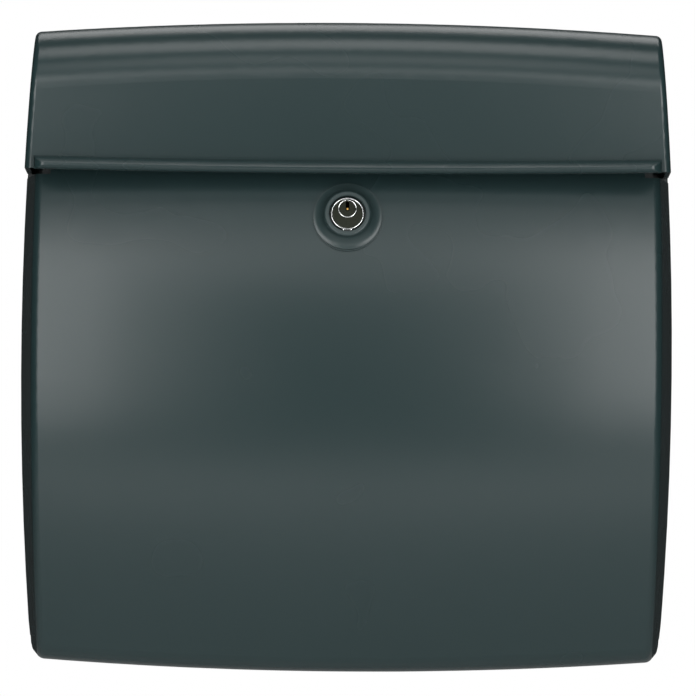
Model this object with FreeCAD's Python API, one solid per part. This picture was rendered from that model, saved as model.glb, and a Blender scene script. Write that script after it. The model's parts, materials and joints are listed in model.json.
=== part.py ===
"""Wall mounted letterbox: a wall tray, a lifting rain lid and a bow-fronted lockable door.

Millimetres, +Z up.  The wall is the plane y = 0, the front faces -Y and the origin is the
centre of the wall face.  Every sub-part is written to parts/NAME.step.
"""
import FreeCAD
import Part
import math
import os

Vector = FreeCAD.Vector

# ---- overall size and the shape of the shell ----------------------------------------------
HALF_HEIGHT = 177.6        # centre to the top or bottom edge, on the middle line
HALF_WIDTH = 182.6         # centre to the side at the widest height
WIDEST_Z = -10.0           # height of the widest place
SIDE_RADIUS = 2000.0       # bow of the sides, seen from the front
EDGE_RADIUS = 2400.0       # bow of the top and bottom edges, seen from the front
DOOR_CROWN = 8.8           # the sides of the door's front stand this far behind its middle
LID_CROWN = 1.0            # the same for the lid, which is nearly straight
DEPTH = 113.0              # wall to the front of the shell, on the middle line
DOOR_DRAFT = 7.0           # degrees that the door's sides lean in towards the front
LID_DRAFT = 2.9            # the same for the lid
WALL = 2.8                 # moulded wall of the lid and the door
TRAY_WALL = 2.6            # moulded wall of the tray

# ---- wall tray ----------------------------------------------------------------------------
RIM_DEPTH = 10.0           # the rim that frames the back plate
RIM_WALL = 3.0
RIM_EDGE_ROUND = 1.0
BACK_PLATE = 3.0
CORNER_RADIUS = 6.0
PARTING_GAP = 0.5          # between the rim and the edges of the lid and the door
BIN_SIDE_INSET = 20.6      # widest place of the box to the inside of the bin
BIN_FRONT_INSET = 41.0     # front of the shell to the front edge of the bin's sides
BIN_FLOOR_INSET = 34.6     # bottom edge of the box to the top of the bin's floor
BIN_ROOF_INSET = 43.6      # top edge of the box to the underside of the roof
BIN_LIP = 28.0             # height of the front lip that keeps the post in
CHEEK_INSET = 25.0         # front of the shell to the roof's edge and the slot's cheeks
DRAIN_HOLE_RADIUS = 3.0
DRAIN_HOLES_X = (-120.0, -40.0, 40.0, 120.0)
DRAIN_HOLE_INSET = 22.0    # drain holes behind the front lip
WALL_SCREW_SPACING_X = 210.0
WALL_SCREW_SPACING_Z = 210.0
WALL_SCREW_HOLE_RADIUS = 2.75
WALL_SCREW_PAD_RADIUS = 9.0
WALL_SCREW_PAD = 1.5       # the pads stand this proud of the back plate
STIFFENING_RIBS_X = (-60.0, 0.0, 60.0)
STIFFENING_RIB = 2.0       # thickness and height of a rib

# ---- hinges -------------------------------------------------------------------------------
HINGE_INSET_Z = 16.0       # hinge axis below the top edge, or above the bottom edge
HINGE_DEPTH = 27.0         # wall to the hinge axes
BARREL_ANGLE = 75.0        # the shell wraps this far round behind the hinge axis
SHORT_BARREL_ANGLE = 12.0  # the same beside the ears
PIN_RADIUS = 2.0
PIN_FIT = 0.08             # running clearance of a pin, on the radius
PIN_BLIND = 0.4            # end clearance of a pin in its boss
PIN_HEAD_LEDGE = 1.4       # the head of a pin is this much wider, on the radius
PIN_HEAD = 1.5
EAR_THICKNESS = 4.0
EAR_INSET = 2.0            # inside of the bin to the outer face of an ear
EAR_WALL = 4.2             # round the pin
BOSS_WALL = 2.6            # round the pin
BOSS_GAP = 0.5             # between an ear and the boss beside it
EAR_CLEAR = 4.0            # the long barrel stops this far short of an ear
LID_OPEN = 80.0            # degrees
DOOR_OPEN = 55.0           # degrees
STOP_RIBS_X = (-90.0, 90.0)
STOP_RIB_WIDTH = 8.0
STOP_CLEAR_ANGLE = 4.0     # degrees from a barrel or a tab to its stop at the end of travel

# ---- lid ----------------------------------------------------------------------------------
LID_HEIGHT = 83.1          # top edge of the box to the lid's lower edge, on the middle line
LID_EDGE_RISE = 2.0        # the lower edge rises by this at the sides
LID_FRONT_RADIUS = 300.0
LID_DEEPEST_DROP = 40.0    # top edge of the box to the lid's foremost height
LID_TOP_RADIUS = 33.0
LID_SIDE_ROUND = 3.5
LIP_REACH = 9.0            # the lip stands this far in front of the lid
LIP_HEIGHT = 7.2
LIP_NOSE = 3.0             # how far the lip's front edge is rounded under
LIP_DROP = 0.5             # the lip's underside hangs this far below the lid's edge
LIP_END_ROUND = 6.0
LIP_END_INSET = 5.0        # the lip's ends stand this far in from the lid's sides

# ---- door ---------------------------------------------------------------------------------
DOOR_LAP = 2.9             # the door's upper edge stands this far up behind the lid's lip
DOOR_SHOULDER_DROP = 3.7   # the door's sides end this far below its upper edge
DOOR_DEEPEST_Z = -20.0     # height of the door's foremost place
DOOR_BOW = 35.1            # the door's front falls back by this at the bottom edge
DOOR_BOTTOM_RADIUS = 14.0
DOOR_SIDE_ROUND = 5.0

# ---- strike rail --------------------------------------------------------------------------
RAIL_LAP = 6.5             # the rail's top stands this far above the lid's lower edge
RAIL_HEIGHT = 16.0
RAIL_SHEET = 1.5
RAIL_DOOR_GAP = 1.2        # between the rail and the inside of the door, at the bin's sides
CAM_CATCH_GAP = 1.2        # between the cam and the back of the rail
RAIL_END_GAP = 0.2
RAIL_SCREW_RADIUS = 1.2
RAIL_SCREW_LENGTH = 5.4
RAIL_SCREW_HEAD = 1.8
RAIL_SCREW_HEAD_GAP = 0.15 # between a screw's head and the inside of the rail
RAIL_SCREW_SPACING = 7.0
RAIL_BOSS = 2.0            # extra wall behind the rail screws
RAIL_BOSS_SKIN = 0.8       # plastic left beyond the tips of the rail screws

# ---- lock ---------------------------------------------------------------------------------
LOCK_DROP = 23.5           # lid's lower edge to the lock's axis at the door's surface
SEAT_MARGIN = 0.8          # the flat seat on the door is this much wider than the collar
SEAT_RISE = 0.6
SEAT_BACK_MARGIN = 4.0     # the flat behind it is this much wider than the washer
SEAT_BACK = 4.2            # door surface to the flat behind the seat
COLLAR_FLARE = 5.7         # front ring to the edge of the foot
COLLAR_RING = 2.9          # width of the front ring
COLLAR_GAP = 0.9           # between the barrel's head and the collar
COLLAR_HEIGHT = 7.6
COLLAR_FLOOR = 1.6
COLLAR_FOOT = 0.8          # upright edge of the foot
COLLAR_RING_EDGE = 1.1     # rounding outside the front ring
COLLAR_BORE_CHAMFER = 0.5
BARREL_HEAD_LEDGE = 0.6    # the barrel's head is this much wider than the barrel
BARREL_HEAD = 4.6
BARREL_RADIUS = 8.4
BARREL_FLAT_DEPTH = 0.8
BARREL_LENGTH = 24.4       # behind the head
BARREL_FIT = 0.15
HEAD_CHAMFER = 0.35
PLUG_OFFSET = 2.8          # plug axis above the barrel's axis
PLUG_RADIUS = 5.0
PLUG_FIT = 0.05
PLUG_HEAD_LEDGE = 0.2
PLUG_HEAD = 1.2
KEYWAY_WIDTH = 1.9
KEYWAY_DEPTH = 19.0
KEYWAY_BOTTOM = -1.2       # below the plug's axis
KEYWAY_TOP = 3.9
TAIL_SQUARE = 6.0
TAIL_LENGTH = 3.0
PIN_COUNT = 5
PIN_PITCH = 3.8
FIRST_PIN = 5.6            # lock face to the first pin
TUMBLER_RADIUS = 1.25
TUMBLER_FIT = 0.04
TUMBLER_TIP = 0.6          # pointed part of a key pin, in parts of its radius
TUMBLER_TIP_RADIUS = 0.4   # the same for the radius of its point
KEY_PIN_LENGTHS = (4.6, 4.0, 4.4, 3.8, 4.2)
DRIVER_LENGTH = 2.4
SPRING_WIRE = 0.16         # radius
SPRING_END_GAP = 0.03
SPRING_TURNS = 6
COVER_WIDTH = 3.4
COVER_THICKNESS = 0.6
WASHER_LEDGE = 3.6         # the washer is this much wider than the barrel
WASHER_THICKNESS = 1.0
NUT_WALL = 2.6             # barrel to the nut's flats
NUT_THICKNESS = 5.0
STOP_WASHER_RADIUS = 5.2
STOP_WASHER_THICKNESS = 1.0
STOP_TAB_REACH = 7.4       # plug axis to the end of the tab
STOP_TAB_WIDTH = 2.2
STOP_LUG_RADIUS = 0.9
STOP_LUG_PLACE = 6.5       # plug axis to the lugs
LOCK_TURN = 90.0           # degrees between open and locked
CAM_LENGTH = 30.0          # plug axis to the tip
CAM_WIDTH = 15.0
CAM_THICKNESS = 2.0
CAM_STACK_GAP = 0.1
CAM_SCREW_RADIUS = 2.0
CAM_SCREW_LENGTH = 7.0
CAM_SCREW_HEAD_RADIUS = 4.2
CAM_SCREW_HEAD = 2.4
SLOT_WIDTH = 0.8           # driver slots of all the screws

# ---- working values -----------------------------------------------------------------------
FAR = 60.0                 # how far cutting tools run past what they cut
OVERCUT = 1.0              # the same where there is little room
LOFT_MARGIN = 12.0         # the bowed surfaces are made this much wider than the box
SECTION_STEPS = (-1.0, -0.5, 0.0, 0.5, 1.0)
SAME = 0.5                 # how near two edges' heights are taken as equal

# ---- sizes that follow from those above -----------------------------------------------------
def bow_radius(reach, drop):
    """Radius of the arc that has this drop at this reach from its middle."""
    return (reach ** 2 + drop ** 2) / (2 * drop)


HINGE_Z = HALF_HEIGHT - HINGE_INSET_Z
HINGE_Y = -HINGE_DEPTH
DOOR_FRONT_RADIUS = bow_radius(HALF_HEIGHT + DOOR_DEEPEST_Z, DOOR_BOW)
SHELL_REAR_Y = -(RIM_DEPTH + PARTING_GAP)
LOFT_HALF_WIDTH = HALF_WIDTH + LOFT_MARGIN
BIN_HALF_WIDTH = HALF_WIDTH - BIN_SIDE_INSET
BIN_FRONT = DEPTH - BIN_FRONT_INSET
BIN_FLOOR_Z = BIN_FLOOR_INSET - HALF_HEIGHT
BIN_ROOF_Z = HALF_HEIGHT - BIN_ROOF_INSET
CHEEK_FRONT = DEPTH - CHEEK_INSET
EAR_OUTER_X = BIN_HALF_WIDTH - EAR_INSET
EAR_RADIUS = PIN_RADIUS + EAR_WALL
BOSS_RADIUS = PIN_RADIUS + BOSS_WALL
LID_EDGE_Z = HALF_HEIGHT - LID_HEIGHT
DOOR_EDGE_Z = LID_EDGE_Z + DOOR_LAP
RAIL_TOP_Z = LID_EDGE_Z + RAIL_LAP
RAIL_LOW_Z = RAIL_TOP_Z - RAIL_HEIGHT
# radii of the lock, from the barrel outwards
BARREL_FLAT = BARREL_RADIUS - BARREL_FLAT_DEPTH
BARREL_HEAD_RADIUS = BARREL_RADIUS + BARREL_HEAD_LEDGE
COLLAR_BORE_RADIUS = BARREL_HEAD_RADIUS + COLLAR_GAP
COLLAR_FACE_RADIUS = COLLAR_BORE_RADIUS + COLLAR_RING
COLLAR_BASE_RADIUS = COLLAR_FACE_RADIUS + COLLAR_FLARE
WASHER_RADIUS = BARREL_RADIUS + WASHER_LEDGE
LOCK_Z = LID_EDGE_Z - LOCK_DROP
LOCK_TILT = math.degrees(math.asin((LOCK_Z - DOOR_DEEPEST_Z) / DOOR_FRONT_RADIUS))
# levels along the lock's axis, from the door's surface outwards
COLLAR_TOP = SEAT_RISE + COLLAR_HEIGHT
HEAD_BASE = SEAT_RISE + COLLAR_FLOOR
LOCK_FACE = HEAD_BASE + BARREL_HEAD
BARREL_REAR = HEAD_BASE - BARREL_LENGTH
PLUG_REAR = BARREL_REAR - CAM_STACK_GAP
CAM_FRONT = PLUG_REAR - STOP_WASHER_THICKNESS
CAM_REAR = CAM_FRONT - CAM_THICKNESS
TUMBLER_LEVELS = [LOCK_FACE - FIRST_PIN - i * PIN_PITCH for i in range(PIN_COUNT)]
# heights below the plug's axis, across the lock
SHEAR_DROP = math.sqrt(PLUG_RADIUS ** 2 - TUMBLER_RADIUS ** 2) - PLUG_FIT
DRIVER_DROP = PLUG_RADIUS + 2 * PLUG_FIT
COVER_DROP = (PLUG_OFFSET + math.sqrt(BARREL_RADIUS ** 2 - (COVER_WIDTH / 2) ** 2)
              - COVER_THICKNESS)


# ---- outline of the whole box ---------------------------------------------------------------
def bow(distance, radius):
    """Drop of an arc of this radius at a distance from its middle."""
    return radius - math.sqrt(radius * radius - distance * distance)


def edge_height(x):
    """Height of the top edge above the centre (the bottom edge mirrors it)."""
    return HALF_HEIGHT - bow(x, EDGE_RADIUS)


def half_width(z):
    """Half width of the box beside the wall, at height z."""
    return HALF_WIDTH - bow(z - WIDEST_Z, SIDE_RADIUS)


def arc(first, middle, last):
    return Part.Arc(first, middle, last).toShape()


def line(first, last):
    return Part.LineSegment(first, last).toShape()


def box(x0, x1, y0, y1, z0, z1):
    return Part.makeBox(x1 - x0, y1 - y0, z1 - z0, Vector(x0, y0, z0))


def cylinder_x(radius, x0, x1, y, z):
    return Part.makeCylinder(radius, x1 - x0, Vector(x0, y, z), Vector(1, 0, 0))


def prism_x(points, x0, x1):
    """Solid between x0 and x1 whose (y, z) outline is given."""
    corners = [Vector(x0, y, z) for y, z in points]
    face = Part.Face(Part.makePolygon(corners + corners[:1]))
    return face.extrude(Vector(x1 - x0, 0, 0))


def fused(shapes):
    return shapes[0].multiFuse(shapes[1:]).removeSplitter()


def mirrored(shape):
    return shape.mirror(Vector(0, 0, 0), Vector(1, 0, 0))


def both_sides(shape):
    return [shape, mirrored(shape)]


def outline_prism(inset, y0, y1, corner):
    """Straight prism of the box's front outline, made smaller all round by the inset."""
    width = half_width(HALF_HEIGHT) - inset
    low_width = half_width(-HALF_HEIGHT) - inset
    top = edge_height(width) - inset
    low = inset - edge_height(low_width)
    middle = HALF_WIDTH - inset
    top_middle = HALF_HEIGHT - inset
    edges = [
        arc(Vector(-width, y0, top), Vector(0, y0, top_middle), Vector(width, y0, top)),
        arc(Vector(width, y0, top), Vector(middle, y0, WIDEST_Z), Vector(low_width, y0, low)),
        arc(Vector(low_width, y0, low), Vector(0, y0, -top_middle), Vector(-low_width, y0, low)),
        arc(Vector(-low_width, y0, low), Vector(-middle, y0, WIDEST_Z), Vector(-width, y0, top)),
    ]
    prism = Part.Face(Part.Wire(edges)).extrude(Vector(0, y1 - y0, 0))
    posts = [e for e in prism.Edges if abs(e.BoundBox.YLength - (y1 - y0)) < 0.01]
    return prism.makeFillet(corner, posts)


def side_prism(draft, outset):
    """Solid between the two leaning sides of a shell, moved out by the outset."""
    rear_y = FAR
    front_y = -DEPTH - FAR
    reach = HALF_HEIGHT + FAR
    wires = []
    for y in (rear_y, front_y):
        lean = (-RIM_DEPTH - y) * math.tan(math.radians(draft))
        top = half_width(reach) + outset - lean
        middle = HALF_WIDTH + outset - lean
        low = half_width(-reach) + outset - lean
        edges = [
            line(Vector(-top, y, reach), Vector(top, y, reach)),
            arc(Vector(top, y, reach), Vector(middle, y, WIDEST_Z), Vector(low, y, -reach)),
            line(Vector(low, y, -reach), Vector(-low, y, -reach)),
            arc(Vector(-low, y, -reach), Vector(-middle, y, WIDEST_Z), Vector(-top, y, reach)),
        ]
        wires.append(Part.Wire(edges))
    return Part.makeLoft(wires, True, True)


# ---- the shells of the lid and the door -----------------------------------------------------
class Profile:
    """Side view of a shell: a bowed front, a rounded edge, a flat and a hinge barrel.

    up is +1 for the lid, whose flat is on top, and -1 for the door, whose flat is below.
    """

    def __init__(self, up, crown, draft, front_radius, deepest_z, edge_round, free_edge):
        self.up = up
        self.crown_radius = bow_radius(HALF_WIDTH, crown)
        self.draft = draft
        self.front_radius = front_radius
        self.deepest_z = deepest_z
        self.edge_round = edge_round
        self.free_edge = free_edge

    def point(self, x, centre, radius, degrees):
        """Point on a circle, turned from the front towards the shell's flat."""
        angle = math.radians(degrees)
        y = centre[0] - radius * math.cos(angle)
        z = centre[1] + self.up * radius * math.sin(angle)
        return Vector(x, y, z)

    def turn(self, x, centre, radius, start, end):
        middle = (start + end) / 2
        angles = (start, middle, end)
        return arc(*[self.point(x, centre, radius, a) for a in angles])

    def front_centre(self, x):
        return (bow(x, self.crown_radius) - DEPTH + self.front_radius, self.deepest_z)

    def front_y(self, x, z, inset=0.0):
        centre = self.front_centre(x)
        radius = self.front_radius - inset
        return centre[0] - math.sqrt(radius ** 2 - (z - centre[1]) ** 2)

    def section(self, x, inset, barrel_angle, rear_y, overrun):
        """Closed outline at one x.  overrun moves the free edge out, to cut an open end."""
        up = self.up
        edge = edge_height(x) - inset
        radius = self.front_radius - inset
        rounding = self.edge_round - inset
        centre = self.front_centre(x)
        free_z = self.free_edge(x) - up * overrun
        start = math.degrees(math.asin(up * (free_z - centre[1]) / radius))
        meet = math.degrees(math.asin((edge - rounding - up * centre[1]) / (radius - rounding)))
        corner = self.point(0, centre, radius - rounding, meet)
        corner = (corner.y, corner.z)
        hinge = (HINGE_Y, up * HINGE_Z)
        barrel = edge - HINGE_Z
        barrel_end = self.point(x, hinge, barrel, 90 + barrel_angle)
        rear_z = up * (HINGE_Z - HINGE_INSET_Z / 2)
        if inset:
            rear_z = barrel_end.z
        flat_start = self.point(x, corner, rounding, 90)
        flat_end = self.point(x, hinge, barrel, 90)
        rear_corner = Vector(x, rear_y, rear_z)
        rear_free = Vector(x, rear_y, free_z)
        return Part.Wire([
            self.turn(x, centre, radius, start, meet),
            self.turn(x, corner, rounding, meet, 90),
            line(flat_start, flat_end),
            self.turn(x, hinge, barrel, 90, 90 + barrel_angle),
            line(barrel_end, rear_corner),
            line(rear_corner, rear_free),
            line(rear_free, self.point(x, centre, radius, start)),
        ])

    def solid(self, inset, barrel_angle, rear_y, overrun):
        wires = [self.section(step * LOFT_HALF_WIDTH, inset, barrel_angle, rear_y, overrun)
                 for step in SECTION_STEPS]
        return Part.makeLoft(wires, True, False)


def lid_free_edge(x):
    return LID_EDGE_Z + LID_EDGE_RISE * (x / HALF_WIDTH) ** 2


def door_free_edge(x):
    return DOOR_EDGE_Z


LID = Profile(1, LID_CROWN, LID_DRAFT, LID_FRONT_RADIUS, HALF_HEIGHT - LID_DEEPEST_DROP,
              LID_TOP_RADIUS, lid_free_edge)
DOOR = Profile(-1, DOOR_CROWN, DOOR_DRAFT, DOOR_FRONT_RADIUS, DOOR_DEEPEST_Z,
               DOOR_BOTTOM_RADIUS, door_free_edge)


def on_side(edge, profile):
    """True for an outer edge where the bowed shell meets one of the leaning sides."""
    middle = edge.valueAt((edge.FirstParameter + edge.LastParameter) / 2)
    if abs(middle.x) < BIN_HALF_WIDTH or middle.y > HINGE_Y:
        return False
    bounds = edge.BoundBox
    if bounds.XLength > BIN_SIDE_INSET:
        return False
    free = abs(middle.z - profile.free_edge(middle.x)) < SAME and bounds.ZLength < SAME
    rear = bounds.YLength < SAME and abs(middle.y - SHELL_REAR_Y) < SAME
    return not free and not rear


def shell(profile, rounding):
    """Open shell with rounded side edges."""
    outer = profile.solid(0.0, BARREL_ANGLE, SHELL_REAR_Y, 0.0)
    outer = outer.common(side_prism(profile.draft, 0.0))
    edges = [e for e in outer.Edges if on_side(e, profile)]
    outer = outer.makeFillet(rounding, edges)
    inner = profile.solid(WALL, BARREL_ANGLE, FAR, FAR / 2)
    return outer.cut(inner.common(side_prism(profile.draft, -WALL)))


def short_barrel_cut(profile):
    """Cuts the barrel back beside the ears, so that the ears pass it as it turns."""
    up = profile.up
    x0 = EAR_OUTER_X - EAR_THICKNESS - EAR_CLEAR
    cut_y = HINGE_Y + HINGE_INSET_Z * math.sin(math.radians(SHORT_BARREL_ANGLE))
    low, high = sorted((up * HINGE_Z, up * (HALF_HEIGHT + FAR)))
    cutter = box(x0, EAR_OUTER_X + BOSS_GAP, cut_y, FAR, low, high)
    return both_sides(cutter)


def hinge_boss(profile):
    """Boss inside each side of a shell, with a blind bore for the hinge pin."""
    z = profile.up * HINGE_Z
    start = EAR_OUTER_X + BOSS_GAP
    inside = profile.solid(WALL / 2, BARREL_ANGLE, SHELL_REAR_Y, 0.0)
    inside = inside.common(side_prism(profile.draft, -WALL / 2))
    boss = cylinder_x(BOSS_RADIUS, start, HALF_WIDTH, HINGE_Y, z)
    return both_sides(boss.common(inside))


def pin_end_x():
    lean = (HINGE_DEPTH - RIM_DEPTH + BOSS_RADIUS) * math.tan(math.radians(DOOR_DRAFT))
    return half_width(HINGE_Z) - lean - WALL - PIN_BLIND


def hinge_bore(profile):
    z = profile.up * HINGE_Z
    bore = cylinder_x(PIN_RADIUS + PIN_FIT, EAR_OUTER_X, pin_end_x() + PIN_BLIND, HINGE_Y, z)
    return both_sides(bore)


def hinge_pin(up):
    """Steel pin pressed into the tray's ear; the shell turns on its outer end."""
    start = EAR_OUTER_X - EAR_THICKNESS
    pin = cylinder_x(PIN_RADIUS, start, pin_end_x(), HINGE_Y, up * HINGE_Z)
    head_radius = PIN_RADIUS + PIN_HEAD_LEDGE
    head = cylinder_x(head_radius, start - PIN_HEAD, start, HINGE_Y, up * HINGE_Z)
    return pin.fuse(head)


# ---- lid ------------------------------------------------------------------------------------
def lip_section(x):
    """Outline of the round-nosed lip at one x, sunk a little way into the lid's wall."""
    low = lid_free_edge(x) - LIP_DROP
    shoulder = low + LIP_HEIGHT
    face = LID.front_y(x, shoulder)
    root = face + WALL / 2
    nose = face - LIP_REACH
    nose_z = low + LIP_HEIGHT * 0.45
    top = Vector(x, face, shoulder)
    top_middle = Vector(x, face - LIP_REACH * 0.70, shoulder - LIP_HEIGHT * 0.20)
    nose_front = Vector(x, nose, nose_z)
    nose_under = Vector(x, nose + LIP_NOSE * 0.27, low + LIP_HEIGHT * 0.12)
    low_front = Vector(x, nose + LIP_NOSE, low)
    root_low = Vector(x, root, low)
    root_top = Vector(x, root, shoulder)
    return Part.Wire([
        line(root_top, top),
        arc(top, top_middle, nose_front),
        arc(nose_front, nose_under, low_front),
        line(low_front, root_low),
        line(root_low, root_top),
    ])


def lip_end_x(y):
    """Half length of the lip at one depth."""
    lean = (-RIM_DEPTH - y) * math.tan(math.radians(LID_DRAFT))
    return half_width(LID_EDGE_Z) - lean - LIP_END_INSET


def lip_plan():
    """Block seen from above as the lip is: leaning sides, bowed front, rounded corners."""
    rear_y = HINGE_Y - FAR / 2
    nose_y = LID.front_y(0, LID_EDGE_Z + LIP_HEIGHT) - LIP_REACH
    rear_x = lip_end_x(rear_y)
    front_x = lip_end_x(nose_y)
    corner_y = nose_y + bow(front_x, LID.crown_radius)
    z0 = LID_EDGE_Z - LIP_HEIGHT
    corners = [Vector(front_x, corner_y, z0), Vector(rear_x, rear_y, z0),
               Vector(-rear_x, rear_y, z0), Vector(-front_x, corner_y, z0)]
    edges = [line(corners[i], corners[i + 1]) for i in range(3)]
    edges.append(arc(corners[3], Vector(0, nose_y, z0), corners[0]))
    block = Part.Face(Part.Wire(edges)).extrude(Vector(0, 0, 4 * LIP_HEIGHT))
    posts = [e for e in block.Edges if e.BoundBox.ZLength > LIP_HEIGHT
             and e.BoundBox.YMax < rear_y - 1]
    return block.makeFillet(LIP_END_ROUND, posts)


def lip():
    wires = [lip_section(step * LOFT_HALF_WIDTH) for step in SECTION_STEPS]
    return Part.makeLoft(wires, True, False).common(lip_plan())


def make_lid():
    lid = fused([shell(LID, LID_SIDE_ROUND), lip()] + hinge_boss(LID))
    for cutter in short_barrel_cut(LID) + hinge_bore(LID):
        lid = lid.cut(cutter)
    return lid


# ---- door -----------------------------------------------------------------------------------
def lock_frame():
    """Placement on the door's surface: local Z points out of the door, local Y up along it."""
    origin = Vector(0, DOOR.front_y(0, LOCK_Z), LOCK_Z)
    turn = FreeCAD.Rotation(Vector(1, 0, 0), 90 - LOCK_TILT)
    return FreeCAD.Placement(origin, turn)


def at_lock(shape):
    placed = shape.copy()
    placed.Placement = lock_frame().multiply(shape.Placement)
    return placed


def disc(radius, z0, z1, x=0.0, y=0.0):
    return Part.makeCylinder(radius, z1 - z0, Vector(x, y, z0))


def barrel_prism(radius, flat, z0, z1):
    """Round bar with two flats, at the sides."""
    bar = disc(radius, z0, z1)
    return bar.common(box(-flat, flat, -radius, radius, z0, z1))


def shoulder_cut():
    """Lowers the door's upper edge at the sides, under the edges of the lid's sides."""
    low_z = DOOR_EDGE_Z - DOOR_SHOULDER_DROP
    return both_sides(box(BIN_HALF_WIDTH, HALF_WIDTH + FAR, -DEPTH - FAR, FAR,
                          low_z, low_z + FAR))


def make_door():
    seat = at_lock(disc(COLLAR_BASE_RADIUS + SEAT_MARGIN, -WALL / 2, SEAT_RISE))
    seat_back = at_lock(disc(WASHER_RADIUS + SEAT_BACK_MARGIN, -SEAT_BACK, 0.0))
    seat_back = seat_back.common(DOOR.solid(0.0, BARREL_ANGLE, SHELL_REAR_Y, 0.0))
    door = fused([shell(DOOR, DOOR_SIDE_ROUND), seat, seat_back] + hinge_boss(DOOR))
    hole = at_lock(barrel_prism(BARREL_RADIUS + BARREL_FIT, BARREL_FLAT + BARREL_FIT,
                                -SEAT_BACK - FAR / 4, SEAT_RISE + FAR / 4))
    for cutter in short_barrel_cut(DOOR) + hinge_bore(DOOR) + shoulder_cut() + [hole]:
        door = door.cut(cutter)
    return door


# ---- hinge pins -----------------------------------------------------------------------------
def ear(up):
    """Bracket on the tray that carries a hinge pin, as a (y, z) outline with a round end."""
    x0 = EAR_OUTER_X - EAR_THICKNESS
    axis_z = up * HINGE_Z
    root_z = BIN_ROOF_Z if up > 0 else BIN_FLOOR_Z - TRAY_WALL
    low, high = sorted((axis_z, root_z))
    plate = box(x0, EAR_OUTER_X, HINGE_Y - EAR_RADIUS, HINGE_Y + EAR_RADIUS, low, high)
    round_end = cylinder_x(EAR_RADIUS, x0, EAR_OUTER_X, HINGE_Y, axis_z)
    return both_sides(plate.fuse(round_end))


def ear_bore(up):
    """Press bore of a hinge pin, through the ear."""
    x0 = EAR_OUTER_X - EAR_THICKNESS
    return both_sides(cylinder_x(PIN_RADIUS, x0 - OVERCUT, EAR_OUTER_X + OVERCUT,
                                 HINGE_Y, up * HINGE_Z))


def stop_ribs(profile, opening):
    """Ribs on the tray that the end of a shell's barrel meets when it is fully open."""
    up = profile.up
    hinge = (HINGE_Y, up * HINGE_Z)
    end_angle = 90 + BARREL_ANGLE + opening + STOP_CLEAR_ANGLE
    root_z = BIN_ROOF_Z + TRAY_WALL / 2 if up > 0 else BIN_FLOOR_Z - TRAY_WALL / 2
    inner = profile.point(0, hinge, HINGE_INSET_Z - 2 * WALL, end_angle)
    outer = profile.point(0, hinge, HINGE_INSET_Z + WALL / 2, end_angle)
    outline = [(inner.y, inner.z), (outer.y, outer.z), (outer.y, root_z), (inner.y, root_z)]
    if opening > 90 - STOP_CLEAR_ANGLE - SHORT_BARREL_ANGLE:
        outline = [(inner.y, inner.z), (outer.y, outer.z), (-BACK_PLATE, outer.z),
                   (-BACK_PLATE, root_z), (inner.y, root_z)]
    return [prism_x(outline, x - STOP_RIB_WIDTH / 2, x + STOP_RIB_WIDTH / 2)
            for x in STOP_RIBS_X]


# ---- wall tray ------------------------------------------------------------------------------
def wall_screw_places():
    return [(sx * WALL_SCREW_SPACING_X / 2, sz * WALL_SCREW_SPACING_Z / 2)
            for sx in (-1, 1) for sz in (-1, 1)]


def rail_rear_y():
    """The rail stands just in front of the cam, which leans with the lock."""
    tilt = math.radians(LOCK_TILT)
    up_along = (RAIL_LOW_Z - LOCK_Z - CAM_FRONT * math.sin(tilt)) / math.cos(tilt)
    cam_y = DOOR.front_y(0, LOCK_Z) - CAM_FRONT * math.cos(tilt) + up_along * math.sin(tilt)
    return cam_y - CAM_CATCH_GAP


def rail_front_y():
    """The door's inside comes nearest at the bin's sides and at the rail's top."""
    return DOOR.front_y(BIN_HALF_WIDTH, RAIL_TOP_Z, WALL) + RAIL_DOOR_GAP


def rail_screw_places():
    """(y, z) of the screws at one end of the strike rail."""
    y = (rail_front_y() + rail_rear_y()) / 2
    z = (RAIL_TOP_Z + RAIL_LOW_Z) / 2
    return [(y, z - RAIL_SCREW_SPACING / 2), (y, z + RAIL_SCREW_SPACING / 2)]


def rail_boss_end():
    """Outer end of the bosses that the rail screws bite into."""
    return BIN_HALF_WIDTH + TRAY_WALL + RAIL_BOSS


def bin_walls():
    """Sides, floor, front lip and roof of the bin inside the shells."""
    inner = BIN_HALF_WIDTH
    outer = BIN_HALF_WIDTH + TRAY_WALL
    floor_z = BIN_FLOOR_Z - TRAY_WALL
    roof_z = BIN_ROOF_Z + TRAY_WALL
    front = rail_front_y()
    bracket_z = RAIL_LOW_Z - 2 * TRAY_WALL
    sides = [
        box(inner, outer, -BIN_FRONT, -BACK_PLATE, floor_z, roof_z),
        box(inner, outer, -CHEEK_FRONT, -BIN_FRONT, RAIL_TOP_Z, roof_z),
        box(inner, outer, front, -BIN_FRONT, bracket_z, RAIL_TOP_Z),
        box(outer, rail_boss_end(), front, rail_rear_y(), RAIL_LOW_Z, RAIL_TOP_Z),
    ]
    floor = box(-outer, outer, -BIN_FRONT, -BACK_PLATE, floor_z, BIN_FLOOR_Z)
    front_lip = box(-outer, outer, -BIN_FRONT, TRAY_WALL - BIN_FRONT,
                    floor_z, BIN_FLOOR_Z + BIN_LIP)
    roof = box(-outer, outer, -CHEEK_FRONT, -BACK_PLATE, BIN_ROOF_Z, roof_z)
    return [wall for part in sides for wall in both_sides(part)] + [floor, front_lip, roof]


def back_ribs():
    """Low upright ribs that stiffen the back plate."""
    depth = BACK_PLATE + STIFFENING_RIB
    half = STIFFENING_RIB / 2
    return [box(x - half, x + half, -depth, -BACK_PLATE / 2,
                BIN_FLOOR_Z - TRAY_WALL / 2, BIN_ROOF_Z + TRAY_WALL / 2)
            for x in STIFFENING_RIBS_X]


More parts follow.
